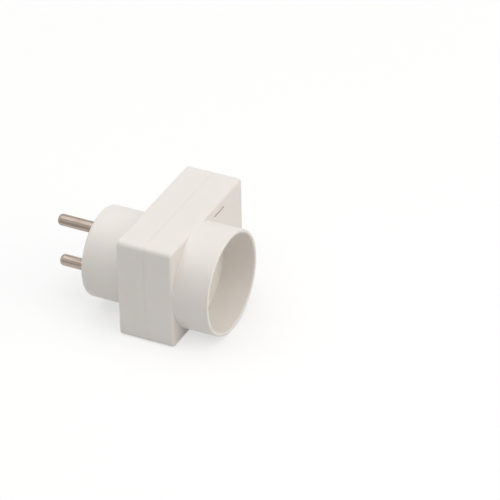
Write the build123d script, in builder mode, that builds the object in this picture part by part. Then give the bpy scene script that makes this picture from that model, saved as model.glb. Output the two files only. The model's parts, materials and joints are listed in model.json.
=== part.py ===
"""Two-way plug adapter for round-pin plugs.

A flat bar, moulded in two halves, carries a round plug with two pins on one side, a round outlet on the
same axis on the other side and a flat outlet in its far end. Inside, each pole is a brass strip that is
riveted to its pin and carries one folded spring contact behind each outlet.

X runs along the plug's axis from the pins to the round outlet's mouth, with the parting seam at X = 0.
Y runs along the bar to the flat outlet, with the plug's axis at Y = 0. Z is up from the underside.
"""

import os

from build123d import *

os.makedirs("parts", exist_ok=True)

# Bar-shaped housing, in millimetres
bar_thickness = 24.0
bar_height = 43.6
bar_back = 40.2  # plug axis to the end with the flat outlet
wall = 2.0
corner_radius = 2.0
edge_radius = 1.2
seam_chamfer = 0.12
lip_thickness = 0.9  # locating lip along the seam
lip_height = 1.2
lip_clearance = 0.1

# Round outlet
collar_margin = 0.2  # well's collar to the bar's upper, lower and plain end faces
well_wall = 1.4
well_reach = 15.2  # rim to the bar's face
well_depth = 14.0  # rim to the floor
well_floor = 2.4
rim_radius = 0.5
pin_hole = 5.9
pin_hole_chamfer = 0.6

# Flat outlet
flat_width = 36.4
flat_face_width = 26.4  # between the slanted ends
flat_thickness = 14.4
flat_depth = 7.0
flat_floor = 1.6
flat_corner_radius = 1.5
flat_pin_hole = 5.9

# Plug
plug_diameter = 37.2
plug_reach = 18.0
plug_face = 3.0
plug_edge_radius = 1.2
pin_diameter = 4.8
pin_spacing = 19.0
pin_reach = 19.0
pin_tip_radius = 1.6
pin_neck = 5.4
pin_flange = 7.0
pin_flange_thickness = 1.4
pin_clearance = 0.05
flange_clearance = 0.1
pin_boss = 10.2

# Pole strips, contacts and rivets
sheet = 0.8
strip_width = 6.4
strip_stand = 1.2  # from the bar's inner face to the strip
strip_overhang = 5.2  # past the pin and past the rivet
rivet_shank = 3.0
rivet_head = 4.6
rivet_head_height = 0.8
rivet_clearance = 0.05
contact_root_gap = 5.6
contact_grip_gap = 4.4
contact_tip_gap = 6.2
contact_bend = 0.9
contact_grip_bend = 2.0
round_contact_width = 7.0
round_contact_grip = 9.0  # pin's grip to the floor's back
round_contact_gap = 2.0  # contact's tips to the floor's back
flat_contact_width = 9.0
flat_contact_gap = 2.8  # contact to the flat outlet's floor
flat_contact_tip = 3.6  # tips past the seam
rib_thickness = 1.4
rib_clearance = 0.4  # hold-down ribs to the strips
hold_down_distance = 11.6  # hold-down ribs to the plug axis

# Housing screw
screw_shank = 2.8
screw_head = 5.8
screw_head_height = 2.2
screw_length = 16.0
screw_tip_length = 1.5
screw_cross_length = 3.5
screw_cross_width = 0.9
screw_cross_depth = 1.1
screw_grip = 8.0  # head's seat to the seam
screw_clearance = 0.05
screw_head_clearance = 0.3
screw_passage = 3.4
screw_boss = 9.6
screw_boss_gap = 0.1
boss_web = 2.0

# Latches near the flat outlet: a hook on the plug side, a ledge and a slot on the socket side
latch_middle = 19.85  # to the plug axis
latch_length = 8.1
latch_inset = 4.4  # slot's middle to the bar's upper or lower face
latch_slot = 0.8
latch_clearance = 0.15
ledge_thickness = 2.0
hook_arm = 1.6
hook_nose = 2.2
hook_tip_gap = 1.6  # hook's tip to the bar's inner face

# Derived places
axis_height = bar_height / 2
bar_front = axis_height  # plug axis to the plain end, as far as to the upper and lower faces
bar_length = bar_front + bar_back
bar_middle = (bar_back - bar_front) / 2
half_thickness = bar_thickness / 2
cavity_depth = half_thickness - wall
cavity_corner = max(corner_radius - wall, 0.5)

well_bore = bar_height - 2 * (collar_margin + well_wall)
rim = half_thickness + well_reach
floor_front = rim - well_depth
floor_back = floor_front - well_floor

flat_floor_front = bar_back - flat_depth
flat_floor_back = flat_floor_front - flat_floor

plug_front = half_thickness + plug_reach
plug_inside = plug_front - plug_face
pole_offset = pin_spacing / 2
poles = {"upper": pole_offset, "lower": -pole_offset}

strip_back = -cavity_depth + strip_stand
strip_front = strip_back + sheet
contact_front = strip_front + sheet
flat_contact_middle = flat_floor_back - flat_contact_gap - flat_contact_width / 2

slot_middle = bar_height / 2 - latch_inset
slot_low = slot_middle - latch_slot / 2
slot_high = slot_middle + latch_slot / 2
hook_tip = cavity_depth - hook_tip_gap
hook_catch = hook_tip - hook_nose
ledge_front = hook_catch - latch_clearance

# Planes: the seam seen from each half, sections along the bar, and the flat outlet's end
to_socket = Plane(origin=(0, 0, axis_height), x_dir=(0, 1, 0), z_dir=(1, 0, 0))
to_plug = Plane(origin=(0, 0, axis_height), x_dir=(0, 1, 0), z_dir=(-1, 0, 0))
section = Plane(origin=(0, 0, axis_height), x_dir=(1, 0, 0), z_dir=(0, -1, 0))
to_flat_outlet = Plane(origin=(0, 0, axis_height), x_dir=(0, 0, 1), z_dir=(0, 1, 0))


def flat_outline(margin):
    """Corners of the long six-sided outline of a flat plug, with a margin all round."""
    side = flat_width / 2 + margin
    shoulder = flat_face_width / 2 + margin / 2
    face = flat_thickness / 2 + margin
    return [(side, 0), (shoulder, face), (-shoulder, face), (-side, 0), (-shoulder, -face), (shoulder, -face)]


def section_at(distance):
    """The section plane at a distance along the bar."""
    return section.offset(-distance)


# Pocket for the flat outlet, before it is shared out between the halves and hollowed
with BuildPart() as flat_pocket:
    with BuildSketch(to_flat_outlet.offset(flat_floor_back)) as pocket_outline:
        Polygon(*flat_outline(wall), align=None)
        fillet(pocket_outline.vertices(), flat_corner_radius)
        Rectangle(bar_height - wall, bar_thickness - wall, mode=Mode.INTERSECT)
    extrude(amount=flat_floor + flat_depth - wall / 2)

# Space that a flat plug and its two pins take up
with BuildPart() as flat_space:
    with BuildSketch(to_flat_outlet.offset(flat_floor_front)) as space_outline:
        Polygon(*flat_outline(0), align=None)
        fillet(space_outline.vertices(), flat_corner_radius)
    extrude(amount=flat_depth + wall)
    with BuildSketch(to_flat_outlet.offset(flat_floor_back - flat_floor)):
        with Locations((pole_offset, 0), (-pole_offset, 0)):
            Circle(flat_pin_hole / 2)
    extrude(amount=3 * flat_floor)


def half_bar(seam):
    """One hollow half of the bar, from the seam along the plane's normal, with its half of the pocket."""
    outward = Axis(seam.origin, seam.z_dir)
    with BuildPart() as half:
        with BuildSketch(seam):
            with Locations((bar_middle, 0)):
                RectangleRounded(bar_length, bar_height, corner_radius)
        extrude(amount=half_thickness)
        fillet(half.faces().sort_by(outward)[-1].edges(), edge_radius)
        chamfer(half.faces().sort_by(outward)[0].edges(), seam_chamfer)
        with BuildSketch(seam):
            with Locations((bar_middle, 0)):
                RectangleRounded(bar_length - 2 * wall, bar_height - 2 * wall, cavity_corner)
        extrude(amount=cavity_depth, mode=Mode.SUBTRACT)
        add(flat_pocket.part)
        split(bisect_by=seam, keep=Keep.TOP)
    return half.part


def seam_band(thickness, end):
    """Sketch of a band along the inside of the bar's wall at the seam, up to the flat outlet's pocket."""
    outer_inset = wall - thickness
    with Locations((bar_middle, 0)):
        RectangleRounded(bar_length - 2 * outer_inset, bar_height - 2 * outer_inset, cavity_corner + thickness)
        RectangleRounded(bar_length - 2 * wall, bar_height - 2 * wall, cavity_corner, mode=Mode.SUBTRACT)
    with Locations((end, 0)):
        Rectangle(bar_length, bar_height, align=(Align.MIN, Align.CENTER), mode=Mode.SUBTRACT)


# Socket-side shell: the half with the round outlet
socket_half = half_bar(to_socket)
with BuildPart() as socket_side_shell:
    add(socket_half)

    # Collar of the well, open through the bar's face, then its floor
    with BuildSketch(to_socket.offset(cavity_depth)):
        Circle(well_bore / 2 + well_wall)
    extrude(amount=rim - cavity_depth)
    with BuildSketch(to_socket.offset(cavity_depth)):
        Circle(well_bore / 2)
    extrude(amount=rim - cavity_depth, mode=Mode.SUBTRACT)
    fillet(socket_side_shell.faces().sort_by(Axis.X)[-1].edges(), rim_radius)
    with BuildSketch(to_socket.offset(floor_back)):
        Circle(well_bore / 2 + well_wall / 2)
    extrude(amount=well_floor)
    with Locations(to_socket.offset(floor_front)):
        with Locations((0, pole_offset), (0, -pole_offset)):
            CounterSinkHole(pin_hole / 2, pin_hole / 2 + pin_hole_chamfer, depth=2 * well_floor)

    # Boss for the housing screw
    with BuildSketch(to_socket.offset(screw_boss_gap)):
        Circle(screw_boss / 2)
        Circle(screw_shank / 2 + screw_clearance, mode=Mode.SUBTRACT)
    extrude(amount=floor_back - screw_boss_gap)

    # Hold-down ribs over the pole strips
    with BuildSketch(to_socket.offset(strip_front + rib_clearance)):
        with Locations((hold_down_distance, pole_offset), (hold_down_distance, -pole_offset)):
            Rectangle(rib_thickness, strip_width)
    extrude(amount=floor_back + well_floor / 4 - strip_front - rib_clearance)

    # Ledges that the latch hooks catch on, and the slots through the face in front of them
    ledge_height = bar_height / 2 - wall / 2 - slot_low
    with BuildSketch(to_socket.offset(ledge_front - ledge_thickness)):
        with Locations((latch_middle, slot_low), (latch_middle, -slot_low - ledge_height)):
            Rectangle(latch_length, ledge_height, align=(Align.CENTER, Align.MIN))
    extrude(amount=ledge_thickness)
    with BuildSketch(to_socket.offset(cavity_depth - wall / 2)):
        with Locations((latch_middle, slot_middle), (latch_middle, -slot_middle)):
            Rectangle(latch_length, latch_slot)
    extrude(amount=2 * wall, mode=Mode.SUBTRACT)

    # Groove for the other half's lip
    with BuildSketch(to_socket):
        seam_band(lip_thickness + lip_clearance, flat_floor_back)
    extrude(amount=lip_height + lip_clearance, mode=Mode.SUBTRACT)
    add(flat_space.part, mode=Mode.SUBTRACT)
socket_side_shell.part.label = "socket_side_shell"
export_step(socket_side_shell.part, "parts/socket_side_shell.step")

# Plug-side shell: the half with the round plug body
plug_half = half_bar(to_plug)
with BuildPart() as plug_side_shell:
    add(plug_half)

    # Hollow plug body
    with BuildSketch(to_plug.offset(cavity_depth)):
        Circle(plug_diameter / 2)
    extrude(amount=plug_front - cavity_depth)
    fillet(plug_side_shell.faces().sort_by(Axis.X)[0].edges(), plug_edge_radius)
    with BuildSketch(to_plug.offset(cavity_depth)):
        Circle(plug_diameter / 2 - wall)
    extrude(amount=plug_inside - cavity_depth, mode=Mode.SUBTRACT)

    # Pin bosses up to the strips, screw boss up to the seam, and the web that joins them
    with BuildSketch(to_plug.offset(-strip_back)):
        with Locations((0, pole_offset), (0, -pole_offset)):
            Circle(pin_boss / 2)
        Rectangle(boss_web, pin_spacing)
    extrude(amount=plug_inside + plug_face / 2 + strip_back)
    with BuildSketch(to_plug):
        Circle(screw_boss / 2)
    extrude(amount=plug_inside + plug_face / 2)

    # Bores for the pins and the housing screw
    with BuildSketch(to_plug.offset(-strip_back)):
        with Locations((0, pole_offset), (0, -pole_offset)):
            Circle(pin_flange / 2 + flange_clearance)
    extrude(amount=plug_inside + strip_back, mode=Mode.SUBTRACT)
    with BuildSketch(to_plug.offset(plug_inside)):
        with Locations((0, pole_offset), (0, -pole_offset)):
            Circle(pin_neck / 2 + pin_clearance)
    extrude(amount=plug_face, mode=Mode.SUBTRACT)
    with BuildSketch(to_plug):
        Circle(screw_passage / 2)
    extrude(amount=screw_grip, mode=Mode.SUBTRACT)
    with BuildSketch(to_plug.offset(screw_grip)):
        Circle(screw_head / 2 + screw_head_clearance)
    extrude(amount=plug_front - screw_grip, mode=Mode.SUBTRACT)

    # Ribs under the far ends of the pole strips, each side of the rivet
    rib_span = flat_contact_width / 2 - rib_thickness / 2
    with BuildSketch(to_plug.offset(-strip_back)):
        for rib_place in (flat_contact_middle - rib_span, flat_contact_middle + rib_span):
            with Locations((rib_place, pole_offset), (rib_place, -pole_offset)):
                Rectangle(rib_thickness, strip_width)
    extrude(amount=strip_stand + wall / 2)

    # Latch hooks
    arm_high = slot_low - latch_clearance
    nose_high = slot_high - latch_clearance
    arm_root = -cavity_depth - wall / 2
    with BuildSketch(section_at(latch_middle)):
        for side in (1, -1):
            Polygon(
                (arm_root, side * (arm_high - hook_arm)),
                (hook_tip, side * (arm_high - hook_arm)),
                (hook_tip, side * arm_high),
                (hook_catch, side * nose_high),
                (hook_catch, side * arm_high),
                (arm_root, side * arm_high),
                align=None,
            )
    extrude(amount=latch_length / 2 - latch_clearance, both=True)

    # Locating lip
    with BuildSketch(to_socket):
        seam_band(lip_thickness, flat_floor_back - lip_clearance)
    extrude(amount=lip_height)
    add(flat_space.part, mode=Mode.SUBTRACT)
plug_side_shell.part.label = "plug_side_shell"
export_step(plug_side_shell.part, "parts/plug_side_shell.step")


def plug_pin(height):
    """One turned pin: plain round end, neck and flange in the plug, riveted end on the strip."""
    tip = -plug_front - pin_reach
    flange_front = -plug_inside
    flange_back = flange_front + pin_flange_thickness
    rivet_top = contact_front + rivet_head_height
    pin_axis = Axis((0, 0, axis_height + height), (1, 0, 0))
    with BuildPart() as pin:
        with BuildSketch(Plane(origin=pin_axis.position, x_dir=(1, 0, 0), z_dir=(0, -1, 0))) as half_section:
            with BuildLine():
                Polyline(
                    (tip, 0),
                    (tip, pin_diameter / 2),
                    (-plug_front, pin_diameter / 2),
                    (-plug_front, pin_neck / 2),
                    (flange_front, pin_neck / 2),
                    (flange_front, pin_flange / 2),
                    (flange_back, pin_flange / 2),
                    (flange_back, pin_neck / 2),
                    (strip_back, pin_neck / 2),
                    (strip_back, rivet_shank / 2),
                    (contact_front, rivet_shank / 2),
                    (contact_front, rivet_head / 2),
                    (rivet_top, rivet_head / 2),
                    (rivet_top, 0),
                    close=True,
                )
            make_face()
            outer_corners = half_section.vertices().filter_by(lambda corner: corner.Y > 0)
            fillet(outer_corners.sort_by(Axis.X)[0], pin_tip_radius)
            fillet(outer_corners.sort_by(Axis.X)[-1], rivet_head_height / 2)
        revolve(axis=pin_axis)
    return pin.part


def pole_strip(height):
    """Flat strip from the pin to the flat outlet's contact, with a hole for the pin and one for the rivet."""
    strip_start = -strip_overhang
    strip_end = flat_contact_middle + strip_overhang
    with BuildPart() as strip:
        with BuildSketch(to_socket.offset(strip_back)):
            with Locations(((strip_start + strip_end) / 2, height)):
                RectangleRounded(strip_end - strip_start, strip_width, sheet)
            with Locations((0, height), (flat_contact_middle, height)):
                Circle(rivet_shank / 2 + rivet_clearance, mode=Mode.SUBTRACT)
        extrude(amount=sheet)
    return strip.part


def outlet_contact(height, middle, width, grip, tip):
    """Folded spring contact: a base on the strip and two leaves that close on a pin and flare at their tips."""
    root_side = (contact_root_gap + sheet) / 2
    grip_side = (contact_grip_gap + sheet) / 2
    tip_side = (contact_tip_gap + sheet) / 2
    base = strip_front + sheet / 2
    with BuildPart() as contact:
        with BuildSketch(section_at(middle)):
            with BuildLine():
                FilletPolyline(
                    (tip, height + tip_side),
                    (grip, height + grip_side),
                    (base, height + root_side),
                    (base, height - root_side),
                    (grip, height - grip_side),
                    (tip, height - tip_side),
                    radius=(contact_grip_bend, contact_bend, contact_bend, contact_grip_bend),
                )
            trace(line_width=sheet)
        extrude(amount=width / 2, both=True)
        with BuildSketch(to_socket.offset(strip_front)):
            with Locations((middle, height)):
                Circle(rivet_shank / 2 + rivet_clearance)
        extrude(amount=sheet, mode=Mode.SUBTRACT)
    return contact.part


for pole, height in poles.items():
    round_contact = outlet_contact(
        height, 0, round_contact_width, floor_back - round_contact_grip, floor_back - round_contact_gap
    )
    flat_contact = outlet_contact(height, flat_contact_middle, flat_contact_width, 0, flat_contact_tip)
    pieces = {
        f"{pole}_pin": plug_pin(height),
        f"{pole}_pole_strip": pole_strip(height),
        f"{pole}_round_outlet_contact": round_contact,
        f"{pole}_flat_outlet_contact": flat_contact,
    }
    for name, piece in pieces.items():
        piece.label = name
        export_step(piece, f"parts/{name}.step")

# Rivets of the flat outlet's contacts
with BuildPart() as contact_rivets:
    rivet_places = [(flat_contact_middle, height) for height in poles.values()]
    with BuildSketch(to_socket.offset(strip_back)):
        with Locations(*rivet_places):
            Circle(rivet_shank / 2)
    extrude(amount=2 * sheet)
    for rivet_face, direction in ((contact_front, 1), (strip_back, -1)):
        with BuildSketch(to_socket.offset(rivet_face)):
            with Locations(*rivet_places):
                Circle(rivet_head / 2)
        extrude(amount=direction * rivet_head_height)
    fillet(contact_rivets.faces().group_by(Axis.X)[-1].edges(), rivet_head_height / 2)
contact_rivets.part.label = "contact_rivets"
export_step(contact_rivets.part, "parts/contact_rivets.step")

# Housing screw with a cross in its head
with BuildPart() as housing_screw:
    screw_end = screw_length - screw_grip
    screw_top = -screw_grip - screw_head_height
    with BuildSketch(section) as screw_section:
        with BuildLine():
            Polyline(
                (screw_top, 0),
                (screw_top, screw_head / 2),
                (-screw_grip, screw_head / 2),
                (-screw_grip, screw_shank / 2),
                (screw_end - screw_tip_length, screw_shank / 2),
                (screw_end, 0),
                close=True,
            )
        make_face()
        head_corner = screw_section.vertices().sort_by(Axis.X)[:2].sort_by(Axis.Y)[-1]
        fillet(head_corner, screw_head_height / 2)
    revolve(axis=Axis(section.origin, (1, 0, 0)))
    with BuildSketch(to_socket.offset(screw_top)):
        Rectangle(screw_cross_length, screw_cross_width)
        Rectangle(screw_cross_width, screw_cross_length)
    extrude(amount=screw_cross_depth, mode=Mode.SUBTRACT)
housing_screw.part.label = "housing_screw"
export_step(housing_screw.part, "parts/housing_screw.step")
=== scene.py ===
# %% [markdown]
# # A white plug adapter
#
# The object is a small adapter for round plugs: a flat white bar with a round plug and two metal pins on
# one side, a round outlet well on the other side and a flat outlet in its far end. Inside are brass
# strips, spring contacts, rivets and one screw.
#
# All of these pieces exist already as exact solids. They could be modelled again here, but a moulded
# housing with small fillets is easier to keep true as a solid. So this lesson leaves every solid where it
# is and gives it what a solid lacks: a finish, light and a camera.

# %% Load the solids
import json
import math

import bmesh
import bpy
from mathutils import Matrix, Vector


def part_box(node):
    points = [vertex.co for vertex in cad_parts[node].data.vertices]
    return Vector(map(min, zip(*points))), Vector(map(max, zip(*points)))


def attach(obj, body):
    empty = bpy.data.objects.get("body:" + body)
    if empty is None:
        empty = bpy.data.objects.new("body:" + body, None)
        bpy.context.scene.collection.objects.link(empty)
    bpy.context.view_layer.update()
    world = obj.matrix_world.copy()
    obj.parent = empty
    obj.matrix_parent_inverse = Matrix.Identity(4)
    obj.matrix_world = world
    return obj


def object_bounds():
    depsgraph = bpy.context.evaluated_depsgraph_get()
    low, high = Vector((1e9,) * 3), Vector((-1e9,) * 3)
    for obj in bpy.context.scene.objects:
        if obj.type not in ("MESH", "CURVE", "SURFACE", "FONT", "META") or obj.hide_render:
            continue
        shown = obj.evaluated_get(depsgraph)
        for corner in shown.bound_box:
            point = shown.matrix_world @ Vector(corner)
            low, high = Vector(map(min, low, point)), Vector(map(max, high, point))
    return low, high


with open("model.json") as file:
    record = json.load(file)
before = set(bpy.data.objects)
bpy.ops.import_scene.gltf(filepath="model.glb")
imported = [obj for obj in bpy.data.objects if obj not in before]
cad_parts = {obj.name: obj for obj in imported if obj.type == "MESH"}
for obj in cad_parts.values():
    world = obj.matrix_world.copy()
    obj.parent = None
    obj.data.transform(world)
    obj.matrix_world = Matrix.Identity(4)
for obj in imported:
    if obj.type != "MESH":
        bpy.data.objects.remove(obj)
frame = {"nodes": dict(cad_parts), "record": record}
solids = frame["nodes"]
cad_low, cad_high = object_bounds()
MM = 0.001
size_mm = [round(length / MM, 1) for length in cad_high - cad_low]
print("loaded", len(solids), "solids, together", size_mm, "mm")

# %% [markdown]
# ## Colours from the record
#
# Each piece belongs to a material slot, and the record gives every slot a base colour. The finishes below
# could have colours of their own, but then the record and the picture might drift apart, so they start
# from the record's.

# %% Read the slots
record = frame["record"]
slot_of = {piece["node"]: piece["material_slot"] for piece in record["subparts"]}
slot_colour = {entry["slot"]: entry["base_color"][:3] for entry in record["materials"]}
for slot_name, colour in slot_colour.items():
    pieces_in_slot = [node for node, slot in slot_of.items() if slot == slot_name]
    print(slot_name, [round(part, 2) for part in colour], "on", len(pieces_in_slot), "pieces")

# %% [markdown]
# ## Helpers for finishes
#
# A finish here is a Principled shader whose colour, roughness and bump are disturbed by a little noise.
# The noise could follow a UV map, but the solids have none. Object coordinates are measured in metres in
# the part's own frame, so a scale of 1000 gives grains about a millimetre wide on every piece.

# %% Start a finish
def new_finish(name):
    """A node material: the material, its node tree, its shader and the piece's own coordinates."""
    material = bpy.data.materials.new(name)
    material.use_nodes = True
    tree = material.node_tree
    shader = tree.nodes["Principled BSDF"]
    place = tree.nodes.new("ShaderNodeTexCoord").outputs["Object"]
    return material, tree, shader, place


def feed(tree, source, socket):
    """Puts a plain number, or what another node gives out, into a socket."""
    if isinstance(source, bpy.types.NodeSocket):
        tree.links.new(source, socket)
    else:
        socket.default_value = source


print("a finish starts with a shader and the piece's own coordinates")

# %% Turn noise into numbers and tints
NOISE_LOW = 0.3
NOISE_HIGH = 0.7


def noise(tree, place, scale, detail=2.0, stretch=(1.0, 1.0, 1.0)):
    """Noise with grains of about 1 / scale metres. A stretch below 1 draws them out along that axis."""
    mapping = tree.nodes.new("ShaderNodeMapping")
    mapping.inputs["Scale"].default_value = stretch
    texture = tree.nodes.new("ShaderNodeTexNoise")
    texture.inputs["Scale"].default_value = scale
    texture.inputs["Detail"].default_value = detail
    feed(tree, place, mapping.inputs["Vector"])
    feed(tree, mapping.outputs["Vector"], texture.inputs["Vector"])
    return texture.outputs["Fac"]


def between(tree, factor, low, high, start=NOISE_LOW, stop=NOISE_HIGH, curve="LINEAR"):
    """A number that runs from low to high as the factor runs from start to stop."""
    mapped = tree.nodes.new("ShaderNodeMapRange")
    mapped.interpolation_type = curve
    feed(tree, factor, mapped.inputs["Value"])
    feed(tree, start, mapped.inputs["From Min"])
    feed(tree, stop, mapped.inputs["From Max"])
    feed(tree, low, mapped.inputs["To Min"])
    feed(tree, high, mapped.inputs["To Max"])
    return mapped.outputs["Result"]


def tint(tree, factor, first, second):
    """A colour that runs from the first to the second over the middle of the noise."""
    ramp = tree.nodes.new("ShaderNodeValToRGB")
    ramp.color_ramp.elements[0].position = NOISE_LOW
    ramp.color_ramp.elements[0].color = (*first, 1.0)
    ramp.color_ramp.elements[1].position = NOISE_HIGH
    ramp.color_ramp.elements[1].color = (*second, 1.0)
    feed(tree, factor, ramp.inputs["Fac"])
    return ramp.outputs["Color"]


print("noise is used from", NOISE_LOW, "to", NOISE_HIGH)

# %% Add bumps and join up the shader
def bump(tree, height, depth, strength, under=None):
    """A bump of that depth in metres, on top of another bump if one is given."""
    node = tree.nodes.new("ShaderNodeBump")
    node.inputs["Strength"].default_value = strength
    node.inputs["Distance"].default_value = depth
    feed(tree, height, node.inputs["Height"])
    if under is not None:
        feed(tree, under, node.inputs["Normal"])
    return node.outputs["Normal"]


def shade(colour, share):
    """The colour made darker, or lighter with a share over 1."""
    return tuple(min(part * share, 1.0) for part in colour)


def join_up(tree, shader, colour, roughness, normal):
    """Gives a shader its colour, its roughness and the slopes of its bumps."""
    feed(tree, colour, shader.inputs["Base Color"])
    feed(tree, roughness, shader.inputs["Roughness"])
    feed(tree, normal, shader.inputs["Normal"])


print("the helpers are ready")

# %% [markdown]
# ## White moulded plastic
#
# The two halves of the housing are injection moulded in a warm white plastic. Such a moulding is never
# quite even: the steel of the mould leaves a fine sparkle on the flat faces, and the shrinking plastic
# leaves very shallow waves. A flat colour with one roughness would look like paint on paper. Two bumps of
# different size, a slow change of roughness and a hardly visible change of tint make it a moulding, and a
# little light that scatters below the surface softens its edges. The scatter stays under half a
# millimetre: the halves are separate meshes, so light that spreads further is lost at the seam and draws
# a dark line there.

# %% Make the white plastic
SCATTER_DEPTH = 0.4 * MM


def moulded_white(colour):
    material, tree, shader, place = new_finish("moulded_white")
    clouds = noise(tree, place, scale=38.0, detail=1.0)
    sparkle = noise(tree, place, scale=2600.0, detail=3.0)
    waves = noise(tree, place, scale=70.0, detail=0.0)
    wavy = bump(tree, waves, depth=0.12 * MM, strength=0.25)
    join_up(
        tree,
        shader,
        colour=tint(tree, clouds, shade(colour, 0.985), shade(colour, 1.01)),
        roughness=between(tree, clouds, 0.36, 0.44),
        normal=bump(tree, sparkle, depth=0.02 * MM, strength=0.35, under=wavy),
    )
    shader.inputs["IOR"].default_value = 1.5
    shader.inputs["Subsurface Weight"].default_value = 0.4
    shader.inputs["Subsurface Radius"].default_value = (1.0, 0.8, 0.6)
    shader.inputs["Subsurface Scale"].default_value = SCATTER_DEPTH
    return material


finishes = {"white_plastic": moulded_white(slot_colour["white_plastic"])}
print("white plastic with", len(finishes["white_plastic"].node_tree.nodes), "nodes")

# %% [markdown]
# ## Nickel-plated pins
#
# The pins are turned from brass rod and plated with nickel, which looks like a warm grey mirror with fine
# rings around it. The rings could be cut into the mesh, but they are only hundredths of a millimetre deep,
# so they are noise that is stretched around the pin: short along the pin's axis, X, and long across it. A
# thin brownish tarnish lies in patches.

# %% Make the nickel plate
def nickel_plate(colour):
    material, tree, shader, place = new_finish("nickel_plate")
    rings = noise(tree, place, scale=5200.0, stretch=(1.0, 0.02, 0.02))
    tarnish = noise(tree, place, scale=240.0)
    join_up(
        tree,
        shader,
        colour=tint(tree, tarnish, shade(colour, 0.9), shade(colour, 1.06)),
        roughness=between(tree, tarnish, 0.28, 0.2),
        normal=bump(tree, rings, depth=0.012 * MM, strength=0.3),
    )
    shader.inputs["Metallic"].default_value = 1.0
    return material


finishes["plated_pins"] = nickel_plate(slot_colour["plated_pins"])
print("nickel plate with", len(finishes["plated_pins"].node_tree.nodes), "nodes")

# %% [markdown]
# ## Brass strips and springs
#
# The current runs through strips and folded springs of rolled brass, which can be seen only through the
# pin holes. Rolled sheet carries fine straight lines along the way it was rolled. They could be scratches
# in the mesh, but nobody would see them from outside. Here the lines run along the bar, Y, so the same
# stretched noise is turned that way, with slow brown clouds where hands have touched the sheet.

# %% Make the rolled brass
def rolled_brass(colour):
    material, tree, shader, place = new_finish("rolled_brass")
    lines = noise(tree, place, scale=4200.0, stretch=(1.0, 0.03, 1.0))
    clouds = noise(tree, place, scale=260.0, detail=3.0)
    join_up(
        tree,
        shader,
        colour=tint(tree, clouds, shade(colour, 0.75), shade(colour, 1.08)),
        roughness=between(tree, lines, 0.26, 0.4),
        normal=bump(tree, lines, depth=0.01 * MM, strength=0.4),
    )
    shader.inputs["Metallic"].default_value = 1.0
    return material


finishes["contact_brass"] = rolled_brass(slot_colour["contact_brass"])
print("rolled brass with", len(finishes["contact_brass"].node_tree.nodes), "nodes")

# %% [markdown]
# ## Zinc-plated screw
#
# The one screw sits deep in the plug. It could share the finish of the pins, but zinc plating is duller
# than nickel and slightly speckled, so its noise is fine and even, and its roughness is higher.

# %% Make the zinc plate
def zinc_plate(colour):
    material, tree, shader, place = new_finish("zinc_plate")
    speckle = noise(tree, place, scale=1800.0, detail=3.0)
    join_up(
        tree,
        shader,
        colour=tint(tree, speckle, shade(colour, 0.85), shade(colour, 1.1)),
        roughness=between(tree, speckle, 0.32, 0.46),
        normal=bump(tree, speckle, depth=0.01 * MM, strength=0.3),
    )
    shader.inputs["Metallic"].default_value = 1.0
    return material


finishes["screw_steel"] = zinc_plate(slot_colour["screw_steel"])
print("zinc plate with", len(finishes["screw_steel"].node_tree.nodes), "nodes")

# %% [markdown]
# ## Dress the solids
#
# A solid comes with one material slot of its own. A second slot could be added and its faces moved over to
# it, but putting the finish into the slot that is there changes the look and leaves the mesh alone.

# %% Give every solid its finish
for node, solid in solids.items():
    solid.material_slots[0].material = finishes[slot_of[node]]
print("dressed", len(solids), "solids")

# %% [markdown]
# ## The screw's thread
#
# The solid screw has a plain shank, because a thread is too fine for the solids. The real one has a sharp
# helical ridge that cuts its own way into the plastic boss. The ridge could come from a screw modifier on
# a triangle, but its height has to fade out at both ends, so it is built point by point: each step along
# the helix adds a small triangle, and neighbouring triangles are joined by faces.

# %% Measure the thread
THREAD_PITCH = 1.3 * MM
THREAD_CREST = 1.64 * MM
THREAD_ROOT = 1.36 * MM
THREAD_FOOT = 0.8 * MM
HEAD_CLEARANCE = 3.7 * MM
TIP_CLEARANCE = 1.7 * MM

screw_low, screw_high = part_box("housing_screw")
screw_axis = (screw_low + screw_high) / 2
thread_start = screw_low.x + HEAD_CLEARANCE
thread_end = screw_high.x - TIP_CLEARANCE
turns = (thread_end - thread_start) / THREAD_PITCH
print("room for", round(turns, 1), "turns of thread")

# %% Shape the ridge
TURNS_TO_FADE = 1.0
LEAST_HEIGHT = 0.02
STEPS_PER_TURN = 40


def ridge_corners(turn):
    """The three corners of the ridge at a number of turns from its start."""
    fade = min(turn / TURNS_TO_FADE, (turns - turn) / TURNS_TO_FADE, 1.0)
    crest = THREAD_ROOT + (THREAD_CREST - THREAD_ROOT) * max(fade, LEAST_HEIGHT)
    angle = 2 * math.pi * turn
    outward = Vector((0, math.cos(angle), math.sin(angle)))
    centre = Vector((thread_start + turn * THREAD_PITCH, screw_axis.y, screw_axis.z))
    along = Vector((THREAD_FOOT / 2, 0, 0))
    foot = centre + outward * THREAD_ROOT
    return foot - along, centre + outward * crest, foot + along


thread_mesh = bmesh.new()
step_count = round(turns * STEPS_PER_TURN)
sections = []
for step in range(step_count + 1):
    corners = ridge_corners(turns * step / step_count)
    sections.append([thread_mesh.verts.new(corner) for corner in corners])
for one, two in zip(sections, sections[1:]):
    for side in range(3):
        other = (side + 1) % 3
        thread_mesh.faces.new((one[side], one[other], two[other], two[side]))
thread_mesh.faces.new(sections[0])
thread_mesh.faces.new(reversed(sections[-1]))
bmesh.ops.recalc_face_normals(thread_mesh, faces=thread_mesh.faces)
print("ridge of", len(thread_mesh.faces), "faces")

# %% Put the thread on the screw
thread_data = bpy.data.meshes.new("screw_thread")
thread_mesh.to_mesh(thread_data)
thread_mesh.free()
thread_data.materials.append(finishes["screw_steel"])
screw_thread = bpy.data.objects.new("screw_thread", thread_data)
bpy.context.scene.collection.objects.link(screw_thread)
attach(screw_thread, "root")
print("thread from", round(thread_start / MM, 1), "to", round(thread_end / MM, 1), "mm along X")

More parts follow.
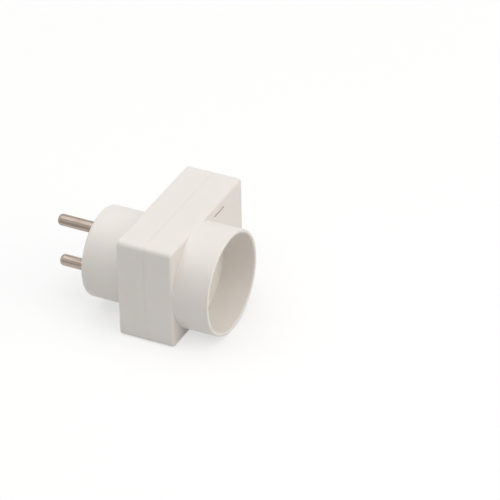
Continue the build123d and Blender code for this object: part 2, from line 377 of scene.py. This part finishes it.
# %% [markdown]
# ## Rays that are seen
#
# A picture on white needs a floor and a surround that look white. Stronger lamps would make them so, but
# they would bleach the white plastic too. The Light Path node tells the kinds of ray apart instead: the
# camera, and what is mirrored or refracted, meets white surroundings, and light that is scattered on meets
# ordinary pale ones.

# %% Tell the rays apart
def seen_ray(tree):
    """1 for rays from the camera and for mirrored or refracted ones, 0 for light that is scattered on."""
    path = tree.nodes.new("ShaderNodeLightPath")
    seen_so_far = path.outputs["Is Camera Ray"]
    for kind in ("Is Glossy Ray", "Is Transmission Ray"):
        either = tree.nodes.new("ShaderNodeMath")
        either.operation = "MAXIMUM"
        feed(tree, seen_so_far, either.inputs[0])
        feed(tree, path.outputs[kind], either.inputs[1])
        seen_so_far = either.outputs["Value"]
    return seen_so_far


def mixed(tree, share, first, second):
    """A number that is the first one at a share of 0 and the second one at a share of 1."""
    return between(tree, share, first, second, start=0.0, stop=1.0)


print("seen rays and scattered light can be told apart")

# %% [markdown]
# ## Floor
#
# The adapter lies on a plain white table. A backdrop that curves up behind it would give a white picture
# too, but it would stand in the way of a view from behind. So the floor is flat, and for rays that are
# seen a share of plain white takes the place of the lit surface: less near the object, where the soft
# shadow has to stay, and more with distance, until the floor runs into the white surround.

# %% Mix the floor's white
FLOOR_BOUNCE = 0.72
SHADOW_REACH = 0.12
WHITE_FROM = 0.7
WHITE_AT_THE_OBJECT = 0.6

floor_material, floor_tree, floor_shader, floor_place = new_finish("pale_floor")
floor_shader.inputs["Roughness"].default_value = 0.9
floor_shader.inputs["Specular IOR Level"].default_value = 0.1
floor_shader.inputs["Emission Color"].default_value = (1.0, 1.0, 1.0, 1.0)
distance = floor_tree.nodes.new("ShaderNodeVectorMath")
distance.operation = "LENGTH"
feed(floor_tree, floor_place, distance.inputs[0])
whiter = between(
    floor_tree,
    distance.outputs["Value"],
    low=WHITE_AT_THE_OBJECT,
    high=1.0,
    start=SHADOW_REACH,
    stop=WHITE_FROM,
    curve="SMOOTHSTEP",
)
seen = seen_ray(floor_tree)
white_share = mixed(floor_tree, seen, 0.0, whiter)
bare_floor = mixed(floor_tree, seen, FLOOR_BOUNCE, 1.0)
lit_floor = mixed(floor_tree, white_share, bare_floor, 0.0)
feed(floor_tree, lit_floor, floor_shader.inputs["Base Color"])
feed(floor_tree, white_share, floor_shader.inputs["Emission Strength"])
print("floor finish with", len(floor_tree.nodes), "nodes")

# %% Lay the floor
FLOOR_SIZE = 8.0

bpy.ops.mesh.primitive_plane_add(size=FLOOR_SIZE, location=(0, 0, cad_low.z))
floor = bpy.context.object
floor.name = "floor"
floor.data.materials.append(floor_material)
print("floor at", round(cad_low.z / MM, 2), "mm")

# %% [markdown]
# ## Sky
#
# Much of the light comes from all around, as in a light tent. One even strength would be shorter to write,
# but then upright faces come out nearly as bright as level ones. Here the strength grows with the height
# in the sky, which the world's Generated coordinates give as their Z: 0 at the horizon and 1 overhead.
# Rays that are seen meet a surround as white as the floor near the horizon and a greyer one overhead, so
# that metal mirrors a room and not a blank sheet.

# %% Light the sky
FILL_AT_THE_HORIZON = 0.12
FILL_OVERHEAD = 0.76
SEEN_OVERHEAD = 0.6
WHITE_UP_TO = 0.25
GREY_FROM = 0.8

world = bpy.data.worlds.new("light_tent")
world.use_nodes = True
world_tree = world.node_tree
sky = world_tree.nodes["Background"]
sky.inputs["Color"].default_value = (1.0, 1.0, 1.0, 1.0)
direction = world_tree.nodes.new("ShaderNodeTexCoord").outputs["Generated"]
direction_parts = world_tree.nodes.new("ShaderNodeSeparateXYZ")
feed(world_tree, direction, direction_parts.inputs["Vector"])
height = direction_parts.outputs["Z"]
fill = mixed(world_tree, height, FILL_AT_THE_HORIZON, FILL_OVERHEAD)
surround = between(world_tree, height, 1.0, SEEN_OVERHEAD, start=WHITE_UP_TO, stop=GREY_FROM)
sky_strength = mixed(world_tree, seen_ray(world_tree), fill, surround)
feed(world_tree, sky_strength, sky.inputs["Strength"])
bpy.context.scene.world = world
print("sky from", FILL_AT_THE_HORIZON, "at the horizon to", FILL_OVERHEAD, "overhead")

# %% [markdown]
# ## Lamps and a grey card
#
# A light tent alone leaves no direction in the light, and a bare lamp would draw hard shadows. So the main
# lamp is a large square above the object, and a small one, a little warmer, stands beside the outlet and
# lights the well. Metal in a pale room also loses its form, so a grey card leans in front of the pins. It
# is there for mirrored rays only and throws no shadow.

# %% Hang the soft lamps
PLAIN_LIGHT = (1.0, 1.0, 1.0)
WARM_LIGHT = (1.0, 0.94, 0.84)


def soft_light(name, place, side, watts, colour):
    """A square area lamp that points at the middle of the object."""
    lamp = bpy.data.lights.new(name, "AREA")
    lamp.shape = "SQUARE"
    lamp.size = side
    lamp.energy = watts
    lamp.color = colour
    holder = bpy.data.objects.new(name, lamp)
    aim = (cad_low + cad_high) / 2 - Vector(place)
    holder.matrix_world = Matrix.Translation(place) @ aim.to_track_quat("-Z", "Y").to_matrix().to_4x4()
    bpy.context.scene.collection.objects.link(holder)
    print(name, "of", watts, "W,", round(aim.length, 2), "m away")


soft_light("light_above", place=(-0.05, -0.08, 1.1), side=1.6, watts=7.3, colour=PLAIN_LIGHT)
soft_light("light_beside_the_outlet", place=(1.0, 0.08, 0.45), side=0.7, watts=3.1, colour=WARM_LIGHT)

# %% Lean the grey card
CARD_GREY = (0.6, 0.6, 0.6)
CARD_SIZE = (0.3, 0.6, 1.0)
CARD_PLACE = (-0.14, -0.32, 0.1)
CARD_SLOPE = math.radians(-19)

card_material, card_tree, card_shader, card_place = new_finish("grey_card")
fibres = noise(card_tree, card_place, scale=900.0)
card_colour = tint(card_tree, fibres, shade(CARD_GREY, 0.9), shade(CARD_GREY, 1.1))
feed(card_tree, card_colour, card_shader.inputs["Base Color"])
card_shader.inputs["Roughness"].default_value = 0.95

bpy.ops.mesh.primitive_plane_add(size=1.0, location=CARD_PLACE, rotation=(CARD_SLOPE, 0, 0))
card = bpy.context.object
card.name = "grey_card"
card.scale = CARD_SIZE
card.data.materials.append(card_material)
card.visible_camera = False
card.visible_diffuse = False
card.visible_transmission = False
card.visible_shadow = False
print("grey card in front of the pins, for mirrored rays only")

# %% [markdown]
# ## Camera
#
# The picture is taken from the front right and from above, with a long lens, so that parallel edges stay
# almost parallel. The place, the two angles and the small roll were worked out from the straight edges of
# the bar and the round rim. A camera that is aimed with a constraint would be shorter to write, but it
# couldn't hold the roll.

# %% Place the camera
CAMERA_PLACE = Vector((0.5960, -1.1087, 0.8547))
AZIMUTH = math.radians(26.83)
ELEVATION = math.radians(33.27)
ROLL = math.radians(-1.24)
LENS = 277.0
SENSOR_WIDTH = 36.0

camera_data = bpy.data.cameras.new("camera")
camera_data.lens = LENS
camera_data.sensor_width = SENSOR_WIDTH
camera = bpy.data.objects.new("camera", camera_data)
turned = Matrix.Rotation(AZIMUTH, 4, "Z") @ Matrix.Rotation(math.pi / 2 - ELEVATION, 4, "X")
camera.matrix_world = Matrix.Translation(CAMERA_PLACE) @ turned @ Matrix.Rotation(ROLL, 4, "Z")
bpy.context.scene.collection.objects.link(camera)
bpy.context.scene.camera = camera
bpy.context.scene.view_settings.view_transform = "Standard"
print("camera", round(CAMERA_PLACE.length, 2), "m from the origin, lens", LENS, "mm")
